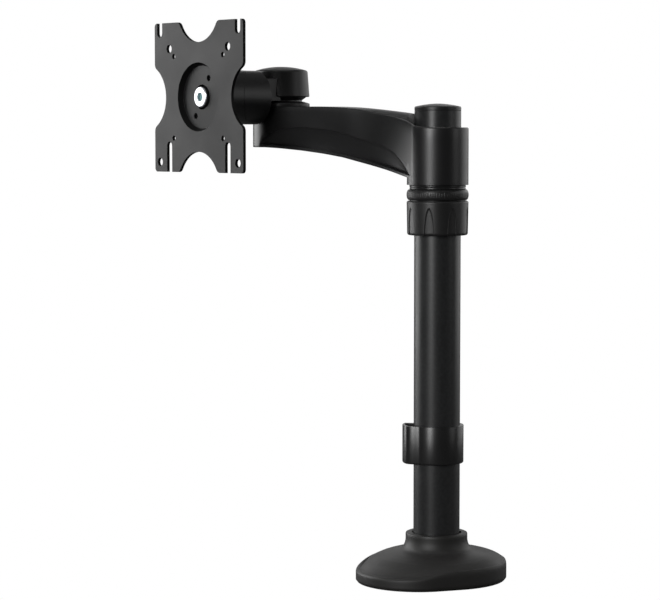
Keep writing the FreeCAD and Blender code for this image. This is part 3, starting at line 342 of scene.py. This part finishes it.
def softened(node, width, segments):
    """The CAD node's own mesh with its sharp edges rounded to a width in millimetres."""
    work = bmesh.new()
    work.from_mesh(nodes[node].data)
    bmesh.ops.remove_doubles(work, verts=work.verts, dist=2e-6)
    bmesh.ops.dissolve_limit(work, angle_limit=FLAT_ANGLE, verts=work.verts, edges=work.edges)
    sharp = [edge for edge in work.edges
             if len(edge.link_faces) == 2 and edge.calc_face_angle(0) > SHARP_ANGLE]
    bmesh.ops.bevel(work, geom=sharp, offset=width * MM, segments=segments, profile=0.5,
                    affect="EDGES", clamp_overlap=True)
    bmesh.ops.recalc_face_normals(work, faces=work.faces)
    mesh = bpy.data.meshes.new(node + "_soft")
    work.to_mesh(mesh)
    work.free()
    return mesh


def smooth_step(value, low, high):
    """Rise from 0 at low to 1 at high, level at both ends."""
    t = np.clip((value - low) / (high - low), 0, 1)
    return t * t * (3 - 2 * t)


def curve_through(table):
    """Value at any place, on straight lines between (place, value) pairs in millimetres."""
    places, values = zip(*table)

    def at(place):
        return np.interp(place, places, values)
    return at


# ---------------------------------------------------------------- base cover

REAR_RADIUS = 53.0
FRONT_RADIUS = 46.0
FRONT_REACH = 19.8
NECK_RADIUS = 23.4
NECK_BORE = 18.3
SIDES = 256


def base_edge(angle):
    """Distance from the post axis to the cover's edge, in millimetres."""
    lean = math.asin((REAR_RADIUS - FRONT_RADIUS) / FRONT_REACH)
    turn = np.arctan2(np.cos(angle), -np.sin(angle))
    off = np.abs(turn)
    straight = REAR_RADIUS / np.cos(math.pi / 2 - lean - off)
    side = FRONT_REACH * np.sin(off)
    front = FRONT_REACH * np.cos(off) + np.sqrt(np.maximum(FRONT_RADIUS ** 2 - side ** 2, 0))
    front_corner = math.atan2(FRONT_RADIUS * math.cos(lean),
                              FRONT_REACH + FRONT_RADIUS * math.sin(lean))
    rear_corner = math.pi / 2 - lean
    radius = np.where(off < front_corner, front, straight)
    return np.where(off > rear_corner, REAR_RADIUS, radius)


def build_base_cover():
    """Neck, domed top, raised edge and hollow underside; the edge spreads into a skirt in front."""
    angles = np.linspace(0, TURN, SIDES, endpoint=False)
    edge = base_edge(angles)
    bottom, top = (v / MM for v in span("base_cover", 2))
    from_front = np.abs(np.arctan2(np.cos(angles), -np.sin(angles)))
    skirt = 1 - smooth_step(from_front, math.radians(40), math.radians(70))
    rear = smooth_step(from_front, math.radians(60), math.radians(110))
    front_dome = curve_through(((23.4, 30.0), (23.6, 28.5), (24, 26.8), (25, 24.4), (26.5, 22.8),
                                (28.5, 21.7), (31, 20.9), (35, 20.0), (40, 18.8), (45, 17.3),
                                (50, 15.0), (52.6, 13.5), (55, 11.9), (57, 10.9), (60, 10.2),
                                (66, 9.6)))
    rear_dome = curve_through(((23.4, 30.0), (23.6, 28.5), (24, 26.8), (25, 24.6), (26.5, 23.3),
                               (28.5, 22.4), (31, 21.7), (35, 20.9), (40, 19.9), (44, 18.8),
                               (47, 17.6), (49, 16.5), (51, 15.1), (53, 13.6)))

    def level(height):
        return np.full(SIDES, height)

    rings = [(NECK_BORE, bottom + 20), (NECK_BORE, top - 0.6), (NECK_BORE + 0.5, top),
             (NECK_RADIUS - 1.0, top), (NECK_RADIUS - 0.3, top - 0.3), (NECK_RADIUS, top - 1.0),
             (NECK_RADIUS, top - 2.5), (NECK_RADIUS, top - 4.5)]
    rows = [(level(r), level(z)) for r, z in rings]
    inset = 1.2 + 2.6 * skirt
    for t in np.linspace(0, 1, 52) ** 1.4:
        start = NECK_RADIUS + 0.1
        r = start + (edge - inset - start) * t
        z = front_dome(r) * (1 - rear) + rear_dome(r) * rear
        drop = skirt * 1.5 * smooth_step(r - (edge - inset), -6, 0)
        rows.append((r, z - drop))
    valley = rows[-1][1]
    for lift, out in ((-0.1, 0.3), (0.15, 0.7)):
        rows.append((edge - inset + out * (0.2 + 0.8 * skirt), valley + lift * skirt))
    crest = valley + 0.7 * skirt
    reach = 1.1 + 1.4 * skirt
    fall = 4.6 - 2.2 * skirt
    for degrees in (80, 65, 48, 32, 16, 0):
        turn = math.radians(degrees)
        rows.append((edge - reach * (1 - math.cos(turn)), crest - fall * (1 - math.sin(turn))))
    low_corner = rows[-1][1]
    for t in (0.25, 0.5, 0.75):
        rows.append((edge, low_corner + (bottom + 1.5 - low_corner) * t))
    for back, height in ((0, 1.5), (0.25, 1.15), (1.1, 0.8), (1.2, 0), (2.6, 0), (2.8, 5.0)):
        rows.append((edge - back, level(bottom + height)))
    rows.append((edge * 0.75, level(bottom + 8.0)))
    rows.append((level(21.0), level(bottom + 14.0)))
    points = np.stack([np.stack([r * np.cos(angles), r * np.sin(angles), z], axis=1)
                       for r, z in rows]) * MM
    mesh = ring_mesh("base_cover_shell", points)
    new_piece("base_cover_shell", mesh, "base_cover", smooth=40)


build_base_cover()


# ---------------------------------------------------------------- arm

ARM_MM = arm_length / MM
HUB_RADIUS = 23.1
HUB_NOTCH_RADIUS = 22.3
HUB_FOOT_RISE = 0.2
FRONT_HUB_RADIUS = 22.2
FRONT_HUB_BORE = 9.03
NUT_POCKET_RADIUS = 13
TAPER = math.radians(6.8)
FLARE = math.radians(22.6)
WAIST = 68.0
RECESS_DEPTH = 4.4
DRAFT = 2.4
LIP_INSET = 1.3
LIP_HEIGHT = 2.4
TOP_ROUNDING = 1.3

top_middle = curve_through(((-24, 340.5), (8, 343), (16, 349.5), (25, 351.3), (30, 351.9),
                            (41, 353.1), (52, 354.2), (63, 355.2), (75, 356.0), (88, 356.5),
                            (100, 356.6), (175, 356.6)))
top_crease = curve_through(((-24, 340.5), (-8, 340.6), (0, 341.2), (7, 342.4), (10.4, 344.3),
                            (19, 347.1), (29, 349.0), (39, 350.6), (49, 351.9), (59, 353.5),
                            (68, 354.8), (80, 355.8), (92, 356.4), (100, 356.6), (175, 356.6)))
underside = curve_through(((-24, 297.7), (6, 297.7), (9, 300.2), (13, 302.4), (18, 303.2),
                           (25, 304.8), (31, 306.3), (37.5, 307.9), (48.5, 310.4), (59.5, 312.9),
                           (79.5, 317.5), (98, 320.4), (116, 322.6), (136, 324.3), (149, 325.1),
                           (175, 325.1)))
arch = curve_through(((8, 299.5), (12.2, 305.3), (19.2, 312.8), (29.2, 321.1), (39.3, 325.4),
                      (51, 328.4), (61, 331.2), (78, 336.0), (96, 339.1), (114.5, 340.5),
                      (129, 339.7), (139, 337.4), (145.6, 334.2), (151.5, 329.9), (155.3, 325.9)))
ARCH_START, ARCH_END = 10.0, 155.2


def arm_outline():
    """Half of the arm's plan from the front tip to the rear tip: places and outward normals."""
    waist_half = FRONT_HUB_RADIUS / math.cos(TAPER) - (ARM_MM - WAIST) * math.tan(TAPER)
    flare = (HUB_RADIUS * math.sin(FLARE), HUB_RADIUS * math.cos(FLARE))
    chord = math.hypot(WAIST - flare[0], flare[1] - waist_half)
    radius = chord / 2 / math.sin((TAPER + FLARE) / 2)
    points, normals = [], []

    def add(place, normal):
        points.append(place)
        normals.append(normal)

    for turn in np.linspace(0, math.pi / 2 + TAPER, 36):
        normal = (math.cos(turn), math.sin(turn))
        add((ARM_MM + FRONT_HUB_RADIUS * normal[0], FRONT_HUB_RADIUS * normal[1]), normal)
    front = points[-1]
    for t in np.linspace(0, 1, 34)[1:]:
        place = (front[0] + (WAIST - front[0]) * t, front[1] + (waist_half - front[1]) * t)
        add(place, normals[-1])
    centre = (WAIST - radius * math.sin(TAPER), waist_half + radius * math.cos(TAPER))
    for turn in np.linspace(-TAPER, FLARE, 30)[1:]:
        place = (centre[0] - radius * math.sin(turn), centre[1] - radius * math.cos(turn))
        add(place, (math.sin(turn), math.cos(turn)))
    for turn in np.linspace(FLARE, -math.pi / 2, 48)[1:]:
        normal = (math.sin(turn), math.cos(turn))
        add((HUB_RADIUS * normal[0], HUB_RADIUS * normal[1]), normal)
    return np.array(points), np.array(normals)


def arm_rings(places):
    """Inward offset and height of each level of the arm's wall, from underside to top.

    Under the arch the wall steps in behind a lip; above it the wall leans in by the draft."""
    s = places[:, 0]
    low, crease = underside(s), top_crease(s)
    inside = (s > ARCH_START) & (s < ARCH_END)
    roof = np.where(inside, arch(s), low)
    tall = np.clip(roof - low - 2.6, 0, None)
    share = np.clip(tall / 6.0, 0, 1)
    depth = RECESS_DEPTH * share * share * (3 - 2 * share)
    draft = DRAFT * smooth_step(s, 62, 96) * (1 - smooth_step(s, 138, 149))
    lip = LIP_INSET * share
    lip_top = low + np.minimum(LIP_HEIGHT, np.maximum(roof - low, 0.9))
    roof = np.maximum(roof, lip_top + 0.4)
    tall_wall = crease - TOP_ROUNDING - roof - 0.3
    lean = draft * np.clip(tall_wall / 24, 0, 1)
    lip, depth = lip + lean, depth + lean
    rings = [(depth + 6, low), (lip + 0.9, low), (lip + 0.35, low + 0.12), (lip, low + 0.55),
             (lip, lip_top - 0.5), (lip + 0.3 * share, lip_top - 0.1),
             (lip + 0.2 + (depth - lip - 0.2) * share, lip_top)]
    base_level = lip_top + 0.05
    for t in (0.15, 0.35, 0.55, 0.75, 0.9):
        inner = depth - (depth - lean - 1.1 * share) * t ** 1.6
        rings.append((inner, base_level + (roof - base_level) * t))
    rings.append((0.9 * share + lean, roof - 0.12))
    rings.append((0.25 * share + lean, roof))
    rings.append((lean, roof + 0.3))
    for t in (0.2, 0.4, 0.6, 0.8):
        rings.append((lean * (1 - t), roof + 0.3 + tall_wall * t))
    for degrees in (0, 18, 36, 54, 72, 90):
        turn = math.radians(degrees)
        rings.append((TOP_ROUNDING * (1 - np.cos(turn)) + 0 * s,
                      crease - TOP_ROUNDING + TOP_ROUNDING * np.sin(turn)))
    return rings


def build_arm():
    """Skin over the rings of the wall, closed above and below, then joined to its foot and bored."""
    half, normals = arm_outline()
    mirror = np.array([1, -1])
    places = np.concatenate([half, (half[1:-1] * mirror)[::-1]])
    facing = np.concatenate([normals, (normals[1:-1] * mirror)[::-1]])
    count = len(places)
    rows = []
    for offset, height in arm_rings(places):
        shifted = places - facing * np.asarray(offset)[:, None]
        rows.append(np.column_stack([shifted, height]))
    rim = rows[-1]
    n = len(half)
    work = bmesh.new()
    grid = [[work.verts.new(point * MM) for point in row] for row in rows]
    for i in range(len(grid) - 1):
        for j in range(count):
            k = (j + 1) % count
            work.faces.new((grid[i][j], grid[i][k], grid[i + 1][k], grid[i + 1][j]))

    def partner(j):
        return (count - j) % count

    def close(ring, row, steps, crown):
        """Fill between the two sides of a ring with strips across the arm."""
        strips = []
        for j in range(n):
            right, left = row[j], row[partner(j)]
            line = [ring[j]]
            middle_height = crown(right[0]) if crown else right[2]
            for step in range(1, steps):
                t = step / steps
                if j in (0, n - 1):
                    line.append(ring[j])
                    continue
                place = right * (1 - t) + left * t
                rise = max(middle_height - right[2], 0) if crown else 0
                place = np.array([place[0], place[1], right[2] + rise * (1 - (2 * t - 1) ** 2)])
                line.append(work.verts.new(place * MM))
            line.append(ring[partner(j)])
            strips.append(line)
        for a, b in zip(strips, strips[1:]):
            for i in range(steps):
                corners = []
                for vert in (a[i], a[i + 1], b[i + 1], b[i]):
                    if vert not in corners:
                        corners.append(vert)
                if len(corners) > 2:
                    work.faces.new(corners)

    close(grid[-1], rim, 12, top_middle)
    close(grid[0], rows[0], 2, None)
    bmesh.ops.recalc_face_normals(work, faces=work.faces)
    mesh = bpy.data.meshes.new("arm_shell")
    work.to_mesh(mesh)
    work.free()

    hub_top = span("post_bush_upper", 2)[1]
    hub_low = span("post_bush_lower", 2)[0]
    bush_left, bush_right = span("post_bush_upper", 0)
    bore = (bush_right - bush_left) / 2 + 0.03 * MM
    foot = span("arm_casting", 2)[0]
    foot_top = (float(underside(np.array([HUB_RADIUS]))[0]) + HUB_FOOT_RISE) * MM
    hub_foot = cylinder_mesh((HUB_RADIUS - 0.02) * MM, foot, foot_top, segments=192)
    mesh = boolean(mesh, hub_foot, "UNION")
    mesh = boolean(mesh, cylinder_mesh(HUB_NOTCH_RADIUS * MM, hub_top - 0.02 * MM, hub_top + 0.05))
    mesh = boolean(mesh, cylinder_mesh(bore, hub_low - 0.05, hub_top + 0.05))
    front = (ARM_MM * MM, 0)
    nut_roof = span("pivot_bush_lower", 2)[0]
    mesh = boolean(mesh, cylinder_mesh(NUT_POCKET_RADIUS * MM, nut_roof - 0.05, nut_roof, front))
    mesh = boolean(mesh, cylinder_mesh(FRONT_HUB_BORE * MM, nut_roof - 0.01, nut_roof + 0.05, front))
    mesh.transform(Matrix.Rotation(arm_heading, 4, "Z"))
    new_piece("arm_shell", mesh, "arm_casting", smooth=30)


build_arm()


# ---------------------------------------------------------------- lock collar and ring

FLUTES = 8
FIRST_FLUTE = math.radians(-13.4)
FLUTE_HALF_WIDTH = 4.0
FLUTE_DEPTH = 0.75
COLLAR_MIDDLE_RADIUS = 22.9


def build_twist_collar():
    """Slightly tapered collar; each flute narrows upwards to a point."""
    bottom, top = (v / MM for v in span("twist_collar", 2))
    height = top - bottom
    profile = [(17.9, bottom + 0.4), (18.4, bottom)]
    profile += [(21.0, bottom), (21.9, bottom + 0.15), (22.5, bottom + 0.7), (22.8, bottom + 1.6)]
    profile += [(22.8 + 0.4 * t, bottom + 1.6 + (height - 2.6) * t) for t in np.linspace(0.03, 1, 44)]
    profile += [(22.9, top - 0.45), (22.2, top), (21.3, top), (20.9, top - 0.4)]
    profile += [(20.9, bottom + 4), (17.9, bottom + 4)]

    def flutes(radius, angle, z):
        step = TURN / FLUTES
        away = (angle - FIRST_FLUTE + step / 2) % step - step / 2
        side = np.abs(away) * COLLAR_MIDDLE_RADIUS
        rise = (z - bottom) / (height - 5.2)
        half_width = FLUTE_HALF_WIDTH * np.sqrt(np.clip(1 - np.clip(rise, 0, 1) ** 1.7, 0, 1))
        fluted = (radius > 21.5) & (rise < 1)
        edge = np.clip((half_width - side) / 0.7, 0, 1)
        fullness = 0.75 + 0.25 * np.clip(half_width / FLUTE_HALF_WIDTH, 0, 1)
        dish = FLUTE_DEPTH * edge * fullness
        return np.where(fluted, radius - dish, radius) * MM, z * MM

    mesh = turned_mesh("twist_collar_fluted", profile, 480, flutes)
    new_piece("twist_collar_fluted", mesh, "twist_collar", smooth=50)


RING_RADIUS = 23.3
RING_BOTTOM, RING_TOP = 286.2, 294.2
RING_BULGE = 1.9
SLEEVE_RADIUS, SLEEVE_BORE = 20.8, 19.4
SLEEVE_BOTTOM = 267.0
MARKS = 72
MARK_HALF_WIDTH = 0.22
MARK_DEPTH = 0.18


def build_lock_ring():
    """Barrel-edged ring with a sleeve below it; short graduation marks are cut round its edge."""
    bottom, top = RING_BOTTOM, RING_TOP
    half_height = (top - bottom) / 2
    middle_height = (top + bottom) / 2
    profile = [(SLEEVE_BORE, SLEEVE_BOTTOM), (SLEEVE_RADIUS, SLEEVE_BOTTOM),
               (SLEEVE_RADIUS, bottom + 0.3), (SLEEVE_RADIUS, bottom)]
    for turn in np.radians(np.linspace(-90, 90, 25)):
        profile.append((RING_RADIUS - RING_BULGE + RING_BULGE * math.cos(turn),
                        middle_height + half_height * math.sin(turn)))
    profile += [(17.9, top), (17.7, top - 0.3), (17.7, top - 3), (SLEEVE_BORE, top - 3)]

    def marks(radius, angle, z):
        step = TURN / MARKS
        away = np.abs((angle + step / 2) % step - step / 2) * RING_RADIUS
        long_mark = (np.round(angle / step) % 6) == 0
        reach = np.where(long_mark, 2.2, 1.2)
        cut = (away < MARK_HALF_WIDTH) & (np.abs(z - middle_height) < reach) & (radius > 22)
        return np.where(cut, radius - MARK_DEPTH, radius) * MM, z * MM

    mesh = turned_mesh("lock_ring_marked", profile, 720, marks)
    new_piece("lock_ring_marked", mesh, "lock_ring", smooth=50)


build_twist_collar()
build_lock_ring()


# ---------------------------------------------------------------- cable clip and rotor screws

CLIP_RADIUS = 20.2
CLIP_BORE = 17.65
CLIP_LOOP_RADIUS = 26.0
CLIP_LOOP_WALL = 2.0
CLIP_ROUNDING = 1.2


def build_cable_clip():
    """Open ring with a cable loop beside its slit.

    Going round from the slit, the loop's wall runs down to the ring in one smooth slope."""
    bottom, top = (v / MM for v in span("cable_clip", 2))
    angles = np.concatenate([np.linspace(-142.6, -141.4, 3), np.linspace(-141.2, -109, 50),
                             np.linspace(-108, -79, 44), np.linspace(-78, 200, 180),
                             np.linspace(201, 211.6, 16)])
    down = 1 - smooth_step(angles, -108.5, -79.5)
    back = smooth_step(angles, 203, 208)
    outer = CLIP_RADIUS + (CLIP_LOOP_RADIUS - CLIP_RADIUS) * np.clip(down + back, 0, 1)
    channel = smooth_step(angles, -141.4, -140.8) * (angles < 0)
    hollow = np.maximum(outer - CLIP_LOOP_WALL, CLIP_BORE)
    inner = CLIP_BORE + (hollow - CLIP_BORE) * channel
    turn = np.radians(angles)
    section = [(inner, bottom), (outer - CLIP_ROUNDING, bottom)]
    for degrees in (15, 30, 45, 60, 75, 90):
        tilt = math.radians(degrees)
        section.append((outer - CLIP_ROUNDING * (1 - math.sin(tilt)),
                        bottom + CLIP_ROUNDING * (1 - math.cos(tilt))))
    section += [(outer, top - 0.2), (outer - 0.06, top - 0.06), (outer - 0.2, top), (inner, top)]
    points = np.stack([np.stack([r * np.cos(turn), r * np.sin(turn), np.full(len(turn), z)], axis=1)
                       for r, z in section], axis=1) * MM
    rows, count = points.shape[:2]
    faces = grid_faces(rows, count)
    faces += [tuple(range(count)), tuple(range((rows - 1) * count, rows * count))]
    mesh = bpy.data.meshes.new("cable_clip_formed")
    mesh.from_pydata(points.reshape(-1, 3).tolist(), [], faces)
    new_piece("cable_clip_formed", tidy_mesh(mesh), "cable_clip", smooth=32)


ROTOR_SCREW_RADIUS = 2.25
ROTOR_SCREW_LENGTH = 5.5
SOCKET_RADIUS = 1.3


def build_rotor_screws():
    """Two socket screws sunk deep in the rotor, so each hole in the dish reads dark."""
    low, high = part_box("rotor_screws")
    centre, radius = (low + high) / 2, ROTOR_SCREW_RADIUS * MM
    front, socket_floor = high.y - ROTOR_SCREW_LENGTH * MM, high.y - 3.5 * MM
    work = bmesh.new()
    for side in (1, -1):
        shank = cylinder_mesh(radius, front, high.y, segments=48)
        socket = cylinder_mesh(SOCKET_RADIUS * MM, front - 0.5 * MM, socket_floor, segments=6)
        shank = boolean(shank, socket)
        x = centre.x + side * (high.x - centre.x - radius)
        z = centre.z + side * (high.z - centre.z - radius)
        shank.transform(Matrix(((1, 0, 0, x), (0, 0, 1, 0), (0, -1, 0, z), (0, 0, 0, 1))))
        work.from_mesh(shank)
    mesh = bpy.data.meshes.new("rotor_screws_sunk")
    work.to_mesh(mesh)
    work.free()
    new_piece("rotor_screws_sunk", tidy_mesh(mesh), "rotor_screws")


build_cable_clip()
build_rotor_screws()


# ---------------------------------------------------------------- pieces with rounded edges

for name, width, segments in (
        ("vesa_plate", 0.35, 2), ("post_end_cap", 0.4, 3), ("swivel_washer", 0.4, 2),
        ("swivel_head", 0.5, 2), ("tilt_socket", 0.3, 2), ("plate_rotor", 0.4, 2),
        ("swivel_cap", 0.5, 3), ("bearing_washer", 0.25, 2),
        ("spindle_screw", 0.3, 2), ("spindle_washer", 0.2, 2), ("arm_channel_cover", 0.3, 2)):
    new_piece(name + "_soft", softened(name, width, segments), name, flat=True)


# ---------------------------------------------------------------- floor, light and camera

def seen_white(tree, lighting, target, kind):
    """Plain white where the camera looks straight at it, and lighting for every other ray."""
    white = add_node(tree, kind, in_Strength=1.0)
    white.inputs["Color"].default_value = (1, 1, 1, 1)
    path = add_node(tree, "ShaderNodeLightPath")
    pick = add_node(tree, "ShaderNodeMixShader")
    tree.links.new(path.outputs["Is Camera Ray"], pick.inputs["Fac"])
    tree.links.new(lighting, pick.inputs[1])
    tree.links.new(white.outputs[0], pick.inputs[2])
    tree.links.new(pick.outputs["Shader"], target)


def add_floor():
    mesh = bpy.data.meshes.new("floor")
    reach = 12
    mesh.from_pydata([(-reach, -reach, 0), (reach, -reach, 0), (reach, reach, 0), (-reach, reach, 0)],
                     [], [(0, 1, 2, 3)])
    floor = bpy.data.objects.new("floor", mesh)
    bpy.context.scene.collection.objects.link(floor)
    material, tree, shader = new_material("pale_floor")
    shader.inputs["Base Color"].default_value = (0.12, 0.12, 0.12, 1)
    shader.inputs["Roughness"].default_value = 0.8
    shader.inputs["Specular IOR Level"].default_value = 0.2
    seen_white(tree, shader.outputs["BSDF"], tree.nodes["Material Output"].inputs["Surface"],
               "ShaderNodeEmission")
    mesh.materials.append(material)


def add_light(name, place, target, width, height, power):
    light = bpy.data.lights.new(name, "AREA")
    light.shape = "RECTANGLE"
    light.size = width
    light.size_y = height
    light.energy = power
    lamp = bpy.data.objects.new(name, light)
    lamp.location = place
    lamp.rotation_euler = (Vector(target) - Vector(place)).to_track_quat("-Z", "Y").to_euler()
    bpy.context.scene.collection.objects.link(lamp)
    return lamp


CAMERA_PLACE = (1.2933, -1.1724, 0.3386)
CAMERA_TURN = (math.radians(85.815), 0, math.radians(50.456))
CAMERA_LENS = 126.76
CAMERA_HEADING = math.radians(-42.2)


def direction(degrees, distance, height):
    """A place at an angle round the post, measured from the direction of the camera."""
    turn = math.radians(degrees) + CAMERA_HEADING
    return (distance * math.cos(turn), distance * math.sin(turn), height)


def add_lights():
    """Soft boxes round the arm: name, place, aim, width and height in metres, power in watts."""
    aim = (-0.03, -0.01, 0.25)
    add_light("left_box", direction(-116, 1.5, 0.6), aim, 1.1, 1.4, 17)
    add_light("front_left_box", direction(-30, 2.4, 0.9), aim, 0.7, 1.4, 35)
    add_light("front_right_box", direction(72, 2.4, 0.9), aim, 1.0, 1.4, 4.5)
    add_light("right_box", direction(126, 1.6, 0.6), aim, 1.5, 1.4, 8)
    add_light("top_box", (-0.1, -0.15, 1.9), aim, 1.6, 1.6, 6)
    add_light("back_box", direction(180, 1.8, 0.8), aim, 2.4, 0.9, 6).visible_camera = False
    world = bpy.data.worlds.new("studio")
    world.use_nodes = True
    tree = world.node_tree
    back = tree.nodes["Background"]
    back.inputs["Color"].default_value = (1, 1, 1, 1)
    back.inputs["Strength"].default_value = 0.06
    seen_white(tree, back.outputs["Background"], tree.nodes["World Output"].inputs["Surface"],
               "ShaderNodeBackground")
    bpy.context.scene.world = world


def add_camera():
    data = bpy.data.cameras.new("camera")
    data.sensor_width = 36
    data.lens = CAMERA_LENS
    camera = bpy.data.objects.new("camera", data)
    camera.location = CAMERA_PLACE
    camera.rotation_euler = CAMERA_TURN
    bpy.context.scene.collection.objects.link(camera)
    bpy.context.scene.camera = camera


add_floor()
add_lights()
add_camera()
bpy.context.scene.view_settings.view_transform = "Standard"
